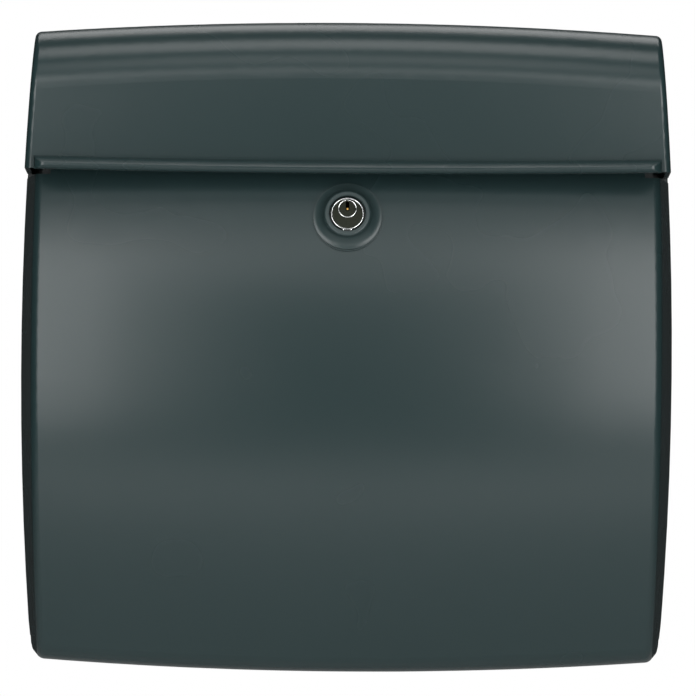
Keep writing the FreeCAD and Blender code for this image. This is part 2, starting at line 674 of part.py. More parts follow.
def wall_rim():
    """Back plate with its rim, rounded in front and open inside."""
    rim = outline_prism(0.0, -RIM_DEPTH, 0, CORNER_RADIUS)
    front_edges = [e for e in rim.Edges if e.BoundBox.YMax < SAME - RIM_DEPTH]
    rim = rim.makeFillet(RIM_EDGE_ROUND, front_edges)
    hollow = outline_prism(RIM_WALL, -RIM_DEPTH - OVERCUT, -BACK_PLATE,
                           CORNER_RADIUS - RIM_WALL / 2)
    return rim.cut(hollow)


def along_y(radius, length, x, y, z):
    """Cylinder that runs forwards from the given place."""
    return Part.makeCylinder(radius, length, Vector(x, y, z), Vector(0, -1, 0))


def tray_bores():
    """Wall screw holes, drain holes, pin bores and the bores for the rail screws."""
    bores = [along_y(WALL_SCREW_HOLE_RADIUS, 3 * BACK_PLATE, x, BACK_PLATE, z)
             for x, z in wall_screw_places()]
    bores += [Part.makeCylinder(DRAIN_HOLE_RADIUS, 4 * TRAY_WALL,
                                Vector(x, DRAIN_HOLE_INSET - BIN_FRONT,
                                       BIN_FLOOR_Z - 2 * TRAY_WALL))
              for x in DRAIN_HOLES_X]
    bores += ear_bore(1) + ear_bore(-1)
    for y, z in rail_screw_places():
        bores += both_sides(cylinder_x(RAIL_SCREW_RADIUS, BIN_HALF_WIDTH - OVERCUT,
                                       rail_boss_end() - RAIL_BOSS_SKIN, y, z))
    return bores


def make_back_housing():
    pads = [along_y(WALL_SCREW_PAD_RADIUS, BACK_PLATE + WALL_SCREW_PAD, x, 0, z)
            for x, z in wall_screw_places()]
    solid = fused([wall_rim()] + bin_walls() + back_ribs() + pads + ear(1) + ear(-1)
                  + stop_ribs(LID, LID_OPEN) + stop_ribs(DOOR, DOOR_OPEN))
    for cutter in tray_bores():
        solid = solid.cut(cutter)
    return solid


# ---- strike rail ----------------------------------------------------------------------------
def make_strike_rail():
    """Folded steel channel, open below, that is the slot's sill and the cam's catch."""
    end = BIN_HALF_WIDTH - RAIL_END_GAP
    sheet = RAIL_SHEET
    front = rail_front_y()
    rear = rail_rear_y()
    block = box(-end, end, front, rear, RAIL_LOW_Z, RAIL_TOP_Z)
    hollow = box(sheet - end, end - sheet, front + sheet, rear - sheet,
                 RAIL_LOW_Z - OVERCUT, RAIL_TOP_Z - sheet)
    rail = block.cut(hollow)
    for y, z in rail_screw_places():
        hole = cylinder_x(RAIL_SCREW_RADIUS, end - 2 * sheet, end + OVERCUT, y, z)
        for side in both_sides(hole):
            rail = rail.cut(side)
    return rail


def make_rail_screws():
    """Screws from inside the rail into the bin's sides, two at each end."""
    seat_x = BIN_HALF_WIDTH - RAIL_END_GAP - RAIL_SHEET
    room = (rail_rear_y() - rail_front_y()) / 2 - RAIL_SHEET
    radius = room - RAIL_SCREW_HEAD_GAP
    top_x = seat_x - RAIL_SCREW_HEAD
    half = SLOT_WIDTH / 2
    screws = []
    for y, z in rail_screw_places():
        shank = cylinder_x(RAIL_SCREW_RADIUS, seat_x, seat_x + RAIL_SCREW_LENGTH, y, z)
        head = cylinder_x(radius, top_x, seat_x, y, z)
        slot = box(top_x - OVERCUT, top_x + RAIL_SCREW_HEAD / 2, y - radius, y + radius,
                   z - half, z + half)
        screws += both_sides(head.fuse(shank).cut(slot))
    return Part.makeCompound(screws)


# ---- lock -----------------------------------------------------------------------------------
def at_plug(shape):
    """Moves a shape built about the plug's axis onto the lock's own axis, then to the door."""
    moved = shape.copy()
    moved.translate(Vector(0, PLUG_OFFSET, 0))
    return at_lock(moved)


def make_lock_collar():
    """Turned collar that flares down from its front ring to a wide foot."""
    foot = SEAT_RISE
    face = COLLAR_FACE_RADIUS
    bore = COLLAR_BORE_RADIUS
    edge = COLLAR_RING_EDGE
    chamfer = COLLAR_BORE_CHAMFER
    foot_low = Vector(COLLAR_BASE_RADIUS, 0, foot)
    foot_edge = Vector(COLLAR_BASE_RADIUS, 0, foot + COLLAR_FOOT)
    hollow = Vector(face + COLLAR_FLARE * 0.30, 0, foot + COLLAR_HEIGHT * 0.38)
    neck = Vector(face, 0, COLLAR_TOP - 1.4 * edge)
    ring_out = Vector(face - 0.3 * edge, 0, COLLAR_TOP - 0.4 * edge)
    ring_top = Vector(face - edge, 0, COLLAR_TOP)
    bore_edge = Vector(bore + chamfer, 0, COLLAR_TOP)
    bore_top = Vector(bore, 0, COLLAR_TOP - chamfer)
    bore_low = Vector(bore, 0, HEAD_BASE)
    axis_floor = Vector(0, 0, HEAD_BASE)
    axis_foot = Vector(0, 0, foot)
    outline = Part.Wire([
        line(foot_low, foot_edge),
        arc(foot_edge, hollow, neck),
        arc(neck, ring_out, ring_top),
        line(ring_top, bore_edge),
        line(bore_edge, bore_top),
        line(bore_top, bore_low),
        line(bore_low, axis_floor),
        line(axis_floor, axis_foot),
        line(axis_foot, foot_low),
    ])
    collar = Part.Face(outline).revolve(Vector(0, 0, 0), Vector(0, 0, 1), 360)
    hole = barrel_prism(BARREL_RADIUS + BARREL_FIT, BARREL_FLAT + BARREL_FIT,
                        foot - OVERCUT, HEAD_BASE + OVERCUT)
    return at_lock(collar.cut(hole))


def tumbler_bores(high_drop, low_drop):
    """Bores for the pins between two depths below the plug's axis."""
    return [Part.makeCylinder(TUMBLER_RADIUS + TUMBLER_FIT, low_drop - high_drop,
                              Vector(0, PLUG_OFFSET - high_drop, level), Vector(0, -1, 0))
            for level in TUMBLER_LEVELS]


def stop_lug_angle():
    """Degrees from straight down to each lug, so that the tab stops against it."""
    tab = math.degrees(math.asin(STOP_TAB_WIDTH / 2 / STOP_LUG_PLACE))
    lug = math.degrees(math.asin(STOP_LUG_RADIUS / STOP_LUG_PLACE))
    return LOCK_TURN / 2 + tab + lug + STOP_CLEAR_ANGLE


def chamfered_head(radius, low):
    """Disc that ends in the lock's front face with a fine chamfer."""
    head = disc(radius, low, LOCK_FACE)
    rim = [e for e in head.Edges if e.BoundBox.ZMin > LOCK_FACE - HEAD_CHAMFER]
    return head.makeChamfer(HEAD_CHAMFER, rim)


def stop_lugs():
    """Two lugs behind the barrel, one at each end of the tab's travel."""
    angle = math.radians(stop_lug_angle())
    y = PLUG_OFFSET - STOP_LUG_PLACE * math.cos(angle)
    return [disc(STOP_LUG_RADIUS, CAM_FRONT + CAM_STACK_GAP, BARREL_REAR + OVERCUT,
                 side * STOP_LUG_PLACE * math.sin(angle), y) for side in (-1, 1)]


def make_lock_barrel():
    body = barrel_prism(BARREL_RADIUS, BARREL_FLAT, BARREL_REAR, HEAD_BASE + OVERCUT)
    barrel = fused([chamfered_head(BARREL_HEAD_RADIUS, HEAD_BASE), body] + stop_lugs())
    half = COVER_WIDTH / 2
    cover_y = PLUG_OFFSET - COVER_DROP
    cutters = tumbler_bores(PLUG_RADIUS - OVERCUT, COVER_DROP)
    cutters.append(disc(PLUG_RADIUS + PLUG_FIT, BARREL_REAR - OVERCUT, LOCK_FACE + OVERCUT,
                        0, PLUG_OFFSET))
    cutters.append(disc(PLUG_RADIUS + PLUG_HEAD_LEDGE + PLUG_FIT,
                        LOCK_FACE - PLUG_HEAD - PLUG_FIT, LOCK_FACE + OVERCUT,
                        0, PLUG_OFFSET))
    cutters.append(box(-half, half, cover_y - BARREL_RADIUS, cover_y, cover_rear(), HEAD_BASE))
    for cutter in cutters:
        barrel = barrel.cut(cutter)
    return at_lock(barrel)


def cover_rear():
    return TUMBLER_LEVELS[-1] - PIN_PITCH / 2


def make_chamber_cover():
    """Brass strip that closes the spring chambers."""
    y1 = PLUG_OFFSET - COVER_DROP
    return at_lock(box(-COVER_WIDTH / 2, COVER_WIDTH / 2, y1 - COVER_THICKNESS, y1,
                       cover_rear(), HEAD_BASE))


def make_lock_plug():
    """Keyed core, with a square tail behind for the cam."""
    body = disc(PLUG_RADIUS, PLUG_REAR, LOCK_FACE - HEAD_CHAMFER)
    head = chamfered_head(PLUG_RADIUS + PLUG_HEAD_LEDGE, LOCK_FACE - PLUG_HEAD)
    half = TAIL_SQUARE / 2
    tail = box(-half, half, -half, half, PLUG_REAR - TAIL_LENGTH + CAM_STACK_GAP, PLUG_REAR)
    plug = fused([body, head, tail])
    keyway = box(-KEYWAY_WIDTH / 2, KEYWAY_WIDTH / 2, KEYWAY_BOTTOM, KEYWAY_TOP,
                 LOCK_FACE - KEYWAY_DEPTH, LOCK_FACE + OVERCUT)
    screw_bore = disc(CAM_SCREW_RADIUS, CAM_REAR, CAM_REAR + CAM_SCREW_LENGTH)
    bores = tumbler_bores(-KEYWAY_BOTTOM - KEYWAY_WIDTH / 2, PLUG_RADIUS + OVERCUT)
    for bore in bores:
        bore.translate(Vector(0, -PLUG_OFFSET, 0))
    for cutter in [keyway, screw_bore] + bores:
        plug = plug.cut(cutter)
    return at_plug(plug)


def make_key_pins():
    """Pins in the plug, lifted as the right key lifts them, with pointed inner ends."""
    pins = []
    for level, length in zip(TUMBLER_LEVELS, KEY_PIN_LENGTHS):
        foot = Vector(0, -SHEAR_DROP, level)
        tip = TUMBLER_RADIUS * TUMBLER_TIP
        shank = Part.makeCylinder(TUMBLER_RADIUS, length - tip, foot, Vector(0, 1, 0))
        cone_base = foot + Vector(0, length - tip, 0)
        cone = Part.makeCone(TUMBLER_RADIUS, TUMBLER_RADIUS * TUMBLER_TIP_RADIUS, tip,
                             cone_base, Vector(0, 1, 0))
        pins.append(at_plug(shank.fuse(cone)))
    return Part.makeCompound(pins)


def make_driver_pins():
    pins = [Part.makeCylinder(TUMBLER_RADIUS, DRIVER_LENGTH, Vector(0, -DRIVER_DROP, level),
                              Vector(0, -1, 0)) for level in TUMBLER_LEVELS]
    return Part.makeCompound([at_plug(pin) for pin in pins])


def make_driver_springs():
    """Coil springs between the driver pins and the chamber cover."""
    end_room = SPRING_WIRE + SPRING_END_GAP
    start = DRIVER_DROP + DRIVER_LENGTH + end_room
    height = COVER_DROP - end_room - start
    coil = TUMBLER_RADIUS - end_room
    helix = Part.makeHelix(height / SPRING_TURNS, height, coil)
    ring = Part.Wire(Part.makeCircle(SPRING_WIRE, Vector(coil, 0, 0), Vector(0, 1, 0)))
    spring = Part.Wire(helix).makePipeShell([ring], True, True)
    spring.rotate(Vector(0, 0, 0), Vector(1, 0, 0), 90)
    springs = []
    for level in TUMBLER_LEVELS:
        copy = spring.copy()
        copy.translate(Vector(0, -start, level))
        springs.append(at_plug(copy))
    return Part.makeCompound(springs)


def make_lock_washer():
    ring = disc(WASHER_RADIUS, -SEAT_BACK - WASHER_THICKNESS, -SEAT_BACK)
    return at_lock(ring.cut(disc(BARREL_RADIUS + BARREL_FIT, -SEAT_BACK - FAR / 4, 0)))


def make_lock_nut():
    """Hexagonal nut on the barrel, flats above and below."""
    top = -SEAT_BACK - WASHER_THICKNESS
    corner = (BARREL_RADIUS + NUT_WALL) * 2 / math.sqrt(3)
    corners = [Vector(corner * math.cos(math.radians(60 * i)),
                      corner * math.sin(math.radians(60 * i)), top) for i in range(7)]
    nut = Part.Face(Part.makePolygon(corners)).extrude(Vector(0, 0, -NUT_THICKNESS))
    return at_lock(nut.cut(disc(BARREL_RADIUS, top - 2 * NUT_THICKNESS, top + OVERCUT)))


def square_hole():
    half = TAIL_SQUARE / 2 + PLUG_FIT
    return box(-half, half, -half, half, CAM_REAR - OVERCUT, PLUG_REAR + OVERCUT)


def make_stop_washer():
    """Washer on the plug's tail whose tab meets the barrel's lugs at both ends of the turn."""
    washer = disc(STOP_WASHER_RADIUS, CAM_FRONT, PLUG_REAR)
    tab = box(-STOP_TAB_WIDTH / 2, STOP_TAB_WIDTH / 2, -STOP_TAB_REACH, 0,
              CAM_FRONT, PLUG_REAR)
    tab.rotate(Vector(0, 0, 0), Vector(0, 0, 1), LOCK_TURN / 2)
    return at_plug(washer.fuse(tab).cut(square_hole()))


def make_lock_cam():
    """Flat cam that points to the side when open and up behind the rail when locked."""
    half = CAM_WIDTH / 2
    boss = disc(half, CAM_REAR, CAM_FRONT)
    arm = box(-CAM_LENGTH, 0, -half, half, CAM_REAR, CAM_FRONT)
    tips = [e for e in arm.Edges if e.BoundBox.ZLength > CAM_THICKNESS / 2
            and e.BoundBox.XMax < -CAM_LENGTH / 2]
    arm = arm.makeFillet(CAM_WIDTH / 4, tips)
    return at_plug(boss.fuse(arm).cut(square_hole()).removeSplitter())


def make_cam_screw():
    shank = disc(CAM_SCREW_RADIUS, CAM_REAR, CAM_REAR + CAM_SCREW_LENGTH)
    head = disc(CAM_SCREW_HEAD_RADIUS, CAM_REAR - CAM_SCREW_HEAD, CAM_REAR)
    rim = [e for e in head.Edges if e.BoundBox.ZMax < CAM_REAR - CAM_SCREW_HEAD / 2]
    head = head.makeFillet(CAM_SCREW_HEAD / 3, rim)
    screw = head.fuse(shank)
    reach = CAM_SCREW_HEAD_RADIUS / 2
    half = SLOT_WIDTH / 2
    for turn in (0, 90):
        slot = box(-reach, reach, -half, half, CAM_REAR - CAM_SCREW_HEAD - OVERCUT,
                   CAM_REAR - CAM_SCREW_HEAD / 2)
        slot.rotate(Vector(0, 0, 0), Vector(0, 0, 1), turn)
        screw = screw.cut(slot)
    return at_plug(screw)


# ---- assembly -------------------------------------------------------------------------------
def make_parts():
    lid_pin = hinge_pin(1)
    door_pin = hinge_pin(-1)
    return {
        "back_housing": make_back_housing(),
        "strike_rail": make_strike_rail(),
        "rail_screws": make_rail_screws(),
        "lid": make_lid(),
        "lid_hinge_pin_right": lid_pin,
        "lid_hinge_pin_left": mirrored(lid_pin),
        "front_door": make_door(),
        "door_hinge_pin_right": door_pin,
        "door_hinge_pin_left": mirrored(door_pin),
        "lock_collar": make_lock_collar(),
        "lock_barrel": make_lock_barrel(),
        "lock_plug": make_lock_plug(),
        "key_pins": make_key_pins(),
        "driver_pins": make_driver_pins(),
        "driver_springs": make_driver_springs(),
        "chamber_cover": make_chamber_cover(),
        "lock_washer": make_lock_washer(),
        "lock_nut": make_lock_nut(),
        "stop_washer": make_stop_washer(),
        "lock_cam": make_lock_cam(),
        "cam_screw": make_cam_screw(),
    }


def main():
    os.makedirs("parts", exist_ok=True)
    for name, shape in make_parts().items():
        shape.exportStep("parts/%s.step" % name)


if __name__ == "__main__":
    main()
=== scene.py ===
import json
import math

import bpy
from bpy.props import FloatProperty, FloatVectorProperty, PointerProperty
from mathutils import Matrix, Vector


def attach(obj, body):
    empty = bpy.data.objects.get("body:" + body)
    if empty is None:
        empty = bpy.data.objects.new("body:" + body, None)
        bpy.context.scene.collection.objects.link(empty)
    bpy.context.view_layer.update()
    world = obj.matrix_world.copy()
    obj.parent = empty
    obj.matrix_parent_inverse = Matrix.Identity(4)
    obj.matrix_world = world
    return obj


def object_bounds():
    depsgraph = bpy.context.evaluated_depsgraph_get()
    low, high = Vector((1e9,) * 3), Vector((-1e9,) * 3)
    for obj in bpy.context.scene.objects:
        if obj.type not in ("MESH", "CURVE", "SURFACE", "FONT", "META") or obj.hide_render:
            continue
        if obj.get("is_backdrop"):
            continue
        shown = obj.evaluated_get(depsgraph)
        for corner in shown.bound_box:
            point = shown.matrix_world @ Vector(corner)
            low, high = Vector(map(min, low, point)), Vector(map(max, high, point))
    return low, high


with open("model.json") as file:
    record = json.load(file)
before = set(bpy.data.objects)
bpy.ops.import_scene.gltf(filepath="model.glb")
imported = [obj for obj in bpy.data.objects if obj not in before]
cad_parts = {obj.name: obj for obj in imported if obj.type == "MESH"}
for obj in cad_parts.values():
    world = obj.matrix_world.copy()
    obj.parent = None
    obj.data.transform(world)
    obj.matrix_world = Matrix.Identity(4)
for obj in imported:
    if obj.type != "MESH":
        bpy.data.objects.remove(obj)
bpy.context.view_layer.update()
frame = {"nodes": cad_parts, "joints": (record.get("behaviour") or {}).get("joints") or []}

bl_info = {
    "name": "Wall Letterbox",
    "version": (1, 0, 0),
    "blender": (4, 5, 0),
    "location": "View3D > Sidebar > Letterbox",
    "description": "Finishes for a wall letterbox of moulded plastic, and a plain studio for it",
    "category": "Object",
}

MM = 0.001

# the lock's added pieces, in millimetres
FOOT_DEPTH = 0.5           # how far each added ring is sunk into what it lies on
TAB_REACH = 0.6            # locating tab at the foot of the rim
TAB_FACING = -0.97         # faces of the rim that look this straight down carry the tab
KEYWAY_HALF_WIDTH = 0.8
KEYWAY_CUT = 0.9           # share of the ring's rise that the keyway takes away
BEAD_EDGE_ROUND = 0.08
PIN_EDGE_ROUND = 0.05
PIN_RADIUS = 0.82
PIN_SIDES = 24
THREAD_CORE_DROP = 0.6     # from the barrel's head down to its threaded stem
FLAT_DROP = 0.78           # from the stem down to each of its two flats

# name, azimuth, elevation, distance, width, height, watts
LIGHTS = (
    ("side_box_left", -23, 9.5, 2.2, 0.70, 1.35, 15.5),
    ("side_box_right", 23, 9.5, 2.2, 0.70, 1.35, 17),
    ("front_box", 0, 24, 2.2, 1.0, 0.35, 2.3),
    ("high_box", 0, 45, 2.2, 1.2, 0.6, 3.6),
    ("top_box", 0, 75, 2.2, 1.4, 0.8, 9.5),
    ("rear_box", 0, 125, 2.2, 1.8, 1.0, 10.5),
    ("low_board", 0, -22, 1.25, 1.2, 0.22, 0.45),
)


# ---- small helpers --------------------------------------------------------------------------
def linear(hex_colour, alpha=1.0):
    """A colour written as sRGB hex, as the linear RGBA that a shader wants."""
    channels = [int(hex_colour[i:i + 2], 16) / 255 for i in (1, 3, 5)]
    rgb = [c / 12.92 if c <= 0.04045 else ((c + 0.055) / 1.055) ** 2.4 for c in channels]
    return (*rgb, alpha)


def add_node(tree, kind, inputs=None, **settings):
    """Adds a node.  inputs maps a socket's name or number to a value or to a socket to link."""
    node = tree.nodes.new(kind)
    for name, value in settings.items():
        setattr(node, name, value)
    for name, value in (inputs or {}).items():
        if isinstance(value, bpy.types.NodeSocket):
            tree.links.new(value, node.inputs[name])
        else:
            node.inputs[name].default_value = value
    return node


def new_material(name):
    """An empty material with its output node, and its tree."""
    material = bpy.data.materials.new(name)
    material.use_nodes = True
    tree = material.node_tree
    tree.nodes.clear()
    return material, tree


def finish_material(tree, shader):
    add_node(tree, "ShaderNodeOutputMaterial", {"Surface": shader.outputs[0]})


def assign(material, *names):
    """Gives CAD nodes one material in place of their own."""
    for name in names:
        mesh = frame["nodes"][name].data
        mesh.materials.clear()
        mesh.materials.append(material)


# ---- materials ------------------------------------------------------------------------------
def moulded_plastic(name, colour, shade, roughness, grain):
    """ASA, injection moulded in a lightly blasted tool: a satin skin with a very fine grain.

    The grain softens the gloss, and slow drifts of colour and gloss come from the flow of the
    melt.  A grain this fine is drawn a little coarser than it is, so that it shows at all.
    """
    material, tree = new_material(name)
    place = add_node(tree, "ShaderNodeTexCoord")
    metres = place.outputs["Object"]
    drift = add_node(tree, "ShaderNodeTexNoise", {
        "Vector": metres, "Scale": 1 / (90 * MM), "Detail": 2.0, "Roughness": 0.5})
    tint = add_node(tree, "ShaderNodeMixRGB", {
        "Fac": drift.outputs["Fac"], "Color1": colour, "Color2": shade})
    gloss = add_node(tree, "ShaderNodeMapRange", {
        "Value": drift.outputs["Fac"], "To Min": roughness - 0.02, "To Max": roughness + 0.02})
    skin = add_node(tree, "ShaderNodeTexNoise", {
        "Vector": metres, "Scale": 1 / grain, "Detail": 3.0, "Roughness": 0.6})
    bump = add_node(tree, "ShaderNodeBump", {
        "Height": skin.outputs["Fac"], "Strength": 0.25, "Distance": 0.03 * MM})
    shader = add_node(tree, "ShaderNodeBsdfPrincipled", {
        "Base Color": tint.outputs["Color"], "Roughness": gloss.outputs["Result"],
        "Normal": bump.outputs["Normal"], "IOR": 1.5})
    finish_material(tree, shader)
    return material


def plated_metal(name, colour, shade, roughness, spangle_mm):
    """Plated or turned metal: bright, with a cloudy bloom from the bath or the tool."""
    material, tree = new_material(name)
    place = add_node(tree, "ShaderNodeTexCoord")
    cloud = add_node(tree, "ShaderNodeTexNoise", {
        "Vector": place.outputs["Object"], "Scale": 1 / (spangle_mm * MM), "Detail": 4.0})
    tint = add_node(tree, "ShaderNodeMixRGB", {
        "Fac": cloud.outputs["Fac"], "Color1": linear(colour), "Color2": linear(shade)})
    gloss = add_node(tree, "ShaderNodeMapRange", {
        "Value": cloud.outputs["Fac"], "To Min": roughness * 0.8, "To Max": roughness * 1.25})
    shader = add_node(tree, "ShaderNodeBsdfPrincipled", {
        "Base Color": tint.outputs["Color"], "Metallic": 1.0,
        "Roughness": gloss.outputs["Result"]})
    finish_material(tree, shader)
    return material


def coated_steel(name, colour, shade, roughness, peel_mm):
    """Powder coated sheet steel, coloured black as painted shade for the gap under the lid's lip,
    with the fine orange peel of the coat.
    """
    material, tree = new_material(name)
    place = add_node(tree, "ShaderNodeTexCoord")
    peel = add_node(tree, "ShaderNodeTexNoise", {
        "Vector": place.outputs["Object"], "Scale": 1 / (peel_mm * MM), "Detail": 1.0})
    tint = add_node(tree, "ShaderNodeMixRGB", {
        "Fac": peel.outputs["Fac"], "Color1": linear(colour), "Color2": linear(shade)})
    bump = add_node(tree, "ShaderNodeBump", {
        "Height": peel.outputs["Fac"], "Strength": 0.5, "Distance": 0.05 * MM})
    shader = add_node(tree, "ShaderNodeBsdfPrincipled", {
        "Base Color": tint.outputs["Color"], "Roughness": roughness,
        "Normal": bump.outputs["Normal"], "IOR": 1.5})
    finish_material(tree, shader)
    return material


# ---- the lock's own axes --------------------------------------------------------------------
def joint(name):
    return next(row for row in frame["joints"] if row["name"] == name)


def lock_frame():
    """Axes of the lock: Z out of the door along the plug, Y up along the door."""
    row = joint("lock_turn")
    out = -Vector(row["axis"]).normalized()
    right = Vector((1, 0, 0))
    up = out.cross(right)
    axes = Matrix((right, up, out)).transposed().to_4x4()
    return Matrix.Translation(row["pos_m"]) @ axes


def lock_extent(node):
    """Lowest and highest corner of a CAD node along the lock's axes, in millimetres."""
    inverse = lock_frame().inverted()
    places = [inverse @ vertex.co for vertex in frame["nodes"][node].data.vertices]
    low = Vector([min(place[i] for place in places) for i in range(3)]) / MM
    high = Vector([max(place[i] for place in places) for i in range(3)]) / MM
    return low, high


# ---- shaping, as by hand --------------------------------------------------------------------
def turned(name, profile, sides=96, ring=True):
    """A piece turned about the Z axis from (radius, height) steps in millimetres.

    A ring's last step is its first again, and the far end of a solid piece is closed.
    """
    bpy.ops.object.select_all(action="DESELECT")
    radius, height = profile[0]
    bpy.ops.mesh.primitive_circle_add(
        vertices=sides, radius=radius * MM, fill_type="NOTHING" if ring else "NGON",
        location=(0, 0, height * MM))
    piece = bpy.context.object
    piece.name = piece.data.name = name
    bpy.ops.object.transform_apply(location=True, rotation=False, scale=False)
    bpy.ops.object.mode_set(mode="EDIT")
    bpy.ops.mesh.select_mode(type="VERT")
    bpy.ops.mesh.select_all(action="SELECT")
    for next_radius, next_height in profile[1:]:
        bpy.ops.mesh.extrude_region_move(
            TRANSFORM_OT_translate={"value": (0, 0, (next_height - height) * MM)})
        share = next_radius / radius
        bpy.ops.transform.resize(value=(share, share, 1), center_override=(0, 0, 0))
        radius, height = next_radius, next_height
    bpy.ops.mesh.select_all(action="SELECT")
    bpy.ops.mesh.remove_doubles(threshold=0.001 * MM)
    bpy.ops.mesh.normals_make_consistent(inside=False)
    bpy.ops.object.mode_set(mode="OBJECT")
    return piece


def pick_faces(piece, wanted):
    """Opens edit mode with only the faces selected for which wanted(face) is true."""
    bpy.ops.object.mode_set(mode="EDIT")
    bpy.ops.mesh.select_mode(type="FACE")
    bpy.ops.mesh.select_all(action="DESELECT")
    bpy.ops.object.mode_set(mode="OBJECT")
    for face in piece.data.polygons:
        face.select = wanted(face)
    bpy.ops.object.mode_set(mode="EDIT")


def trim(piece, place, outwards):
    """Cuts off what lies beyond a plane, and closes the cut."""
    bpy.ops.object.mode_set(mode="EDIT")
    bpy.ops.mesh.select_all(action="SELECT")
    bpy.ops.mesh.bisect(plane_co=place, plane_no=outwards, use_fill=True, clear_outer=True)
    bpy.ops.object.mode_set(mode="OBJECT")


def round_edges(piece, width_mm):
    bevel = piece.modifiers.new("round_edges", "BEVEL")
    bevel.width = width_mm * MM
    bevel.segments = 2
    bevel.limit_method = "ANGLE"
    bevel.angle_limit = math.radians(28)
    bpy.ops.object.modifier_apply(modifier=bevel.name)


def settle(piece, across=0.0):
    """Smooths a turned piece and moves it onto the lock, across being up the door in mm."""
    bpy.ops.object.shade_smooth_by_angle(angle=math.radians(35))
    piece.matrix_world = lock_frame() @ Matrix.Translation((0, across * MM, 0))
    bpy.ops.object.transform_apply(location=True, rotation=True, scale=True)


def mount(piece, material, body):
    piece.data.materials.clear()
    piece.data.materials.append(material)
    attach(piece, body)


# ---- what a user would change ---------------------------------------------------------------
def colour_property(name, description, hex_colour):
    return FloatVectorProperty(name=name, description=description, subtype="COLOR", size=4,
                               min=0, max=1, default=linear(hex_colour))


def length_property(name, description, millimetres):
    return FloatProperty(name=name, description=description, unit="LENGTH", min=0,
                         precision=5, default=millimetres * MM)


class LetterboxFinish(bpy.types.PropertyGroup):
    shell: colour_property(
        "Shell", "Colour of the lid and the door", "#27393A")
    shell_shade: colour_property(
        "Shell shade", "Colour that the shell drifts towards", "#233637")
    tray: colour_property(
        "Tray", "Colour of the wall tray", "#202D2E")
    tray_shade: colour_property(
        "Tray shade", "Colour that the tray drifts towards", "#1D292A")
    # the collar is the shell's own plastic; these two lighter colours are painted light, for its
    # face that tilts up towards the lamps
    collar: colour_property(
        "Collar", "Colour of the lock's collar", "#354545")
    collar_painted_lighter_drift: colour_property(
        "Collar shade", "Colour that the collar drifts towards", "#303F40")
    shell_roughness: FloatProperty(
        name="Shell roughness", description="Gloss of the lid and the door",
        subtype="FACTOR", min=0, max=1, default=0.27)
    grain: length_property(
        "Grain", "Spacing of the fine grain on the plastic", 0.7)


class LetterboxLock(bpy.types.PropertyGroup):
    rim_width: length_property(
        "Rim width", "Width of the bright rim round the lock's face", 0.9)
    rim_rise: length_property(
        "Rim rise", "How far the rim stands out of the face", 0.45)
    plug_ring_width: length_property(
        "Plug ring width", "Width of the bright ring round the keyway", 0.95)
    plug_ring_rise: length_property(
        "Plug ring rise", "How far that ring stands out of the face", 0.5)
    thread_pitch: length_property(
        "Thread pitch", "Spacing of the thread on the lock's barrel", 1.0)
    thread_height: length_property(
        "Thread height", "How far the thread stands out of the barrel", 0.3)


class LetterboxStage(bpy.types.PropertyGroup):
    camera_distance: FloatProperty(
        name="Camera distance", description="From the wall to the camera",
        unit="LENGTH", min=0.5, default=2.7)
    view_width: FloatProperty(
        name="View width", description="Width of what the camera sees at the wall",
        unit="LENGTH", min=0.1, default=0.392)
    camera_aside: FloatProperty(
        name="Camera aside", description="How far the camera stands right of the middle",
        unit="LENGTH", default=0.0008)
    camera_roll: FloatProperty(
        name="Camera roll", description="Turn of the camera about its own line of sight",
        unit="ROTATION", default=math.radians(-0.4))
    floor_drop: FloatProperty(
        name="Floor drop", description="From the letterbox down to the floor",
        unit="LENGTH", min=0.0, default=0.35)
    room_light: FloatProperty(
        name="Room light", description="Strength of the light from all round",
        min=0.0, default=0.03)


# ---- operators ------------------------------------------------------------------------------
class LETTERBOX_OT_shells(bpy.types.Operator):
    """Finish the lid, the door, the tray and the lock's collar as moulded plastic"""
    bl_idname = "letterbox.shells"
    bl_label = "Lid, door and tray"

    def execute(self, context):
        look = context.scene.letterbox_finish
        asa = moulded_plastic("moulded_asa_anthracite", look.shell, look.shell_shade,
                              look.shell_roughness, look.grain)
        tray = moulded_plastic("moulded_pp_tray", look.tray, look.tray_shade,
                               look.shell_roughness + 0.12, look.grain)
        # the collar's material is the shell's plastic painted lighter: painted light on its
        # upward-facing face
        collar = moulded_plastic("moulded_asa_collar_painted_lighter", look.collar, look.collar_painted_lighter_drift,
                                 look.shell_roughness + 0.03, look.grain)
        assign(asa, "lid", "front_door")
        assign(tray, "back_housing")
        assign(collar, "lock_collar")
        return {"FINISHED"}


class LETTERBOX_OT_metal(bpy.types.Operator):
    """Finish the lock, the rail, the screws and the pins as metal"""
    bl_idname = "letterbox.metal"
    bl_label = "Metal parts"

    def execute(self, context):
        # the lock's barrel and plug are chrome; their dark olive colour is a painted reflection
        # of the dark surroundings that the chrome face mirrors
        barrel_metal = plated_metal("chrome_painted_dark_reflection", "#4B4E45", "#33372F", 0.16, 2)
        zinc = plated_metal("zinc_plated_steel", "#B9BDBE", "#9DA2A4", 0.32, 3)
        steel = plated_metal("bright_drawn_steel", "#A9ABAC", "#8C8F91", 0.24, 2)
        brass = plated_metal("drawn_brass", "#D0A560", "#B98A45", 0.25, 1)
        # the strike rail's black is painted shade: it stands in for the shadow in the gap under
        # the lid's lip
        black = coated_steel("steel_black_painted_shade", "#16191A", "#101314", 0.42, 0.6)
        assign(barrel_metal, "lock_barrel", "lock_plug")
        assign(brass, "key_pins", "driver_pins", "chamber_cover")
        assign(black, "strike_rail")
        assign(zinc, "rail_screws", "lock_washer", "lock_nut", "stop_washer", "lock_cam")
        assign(steel, "cam_screw", "driver_springs", "lid_hinge_pin_left",
               "lid_hinge_pin_right", "door_hinge_pin_left", "door_hinge_pin_right")
        return {"FINISHED"}


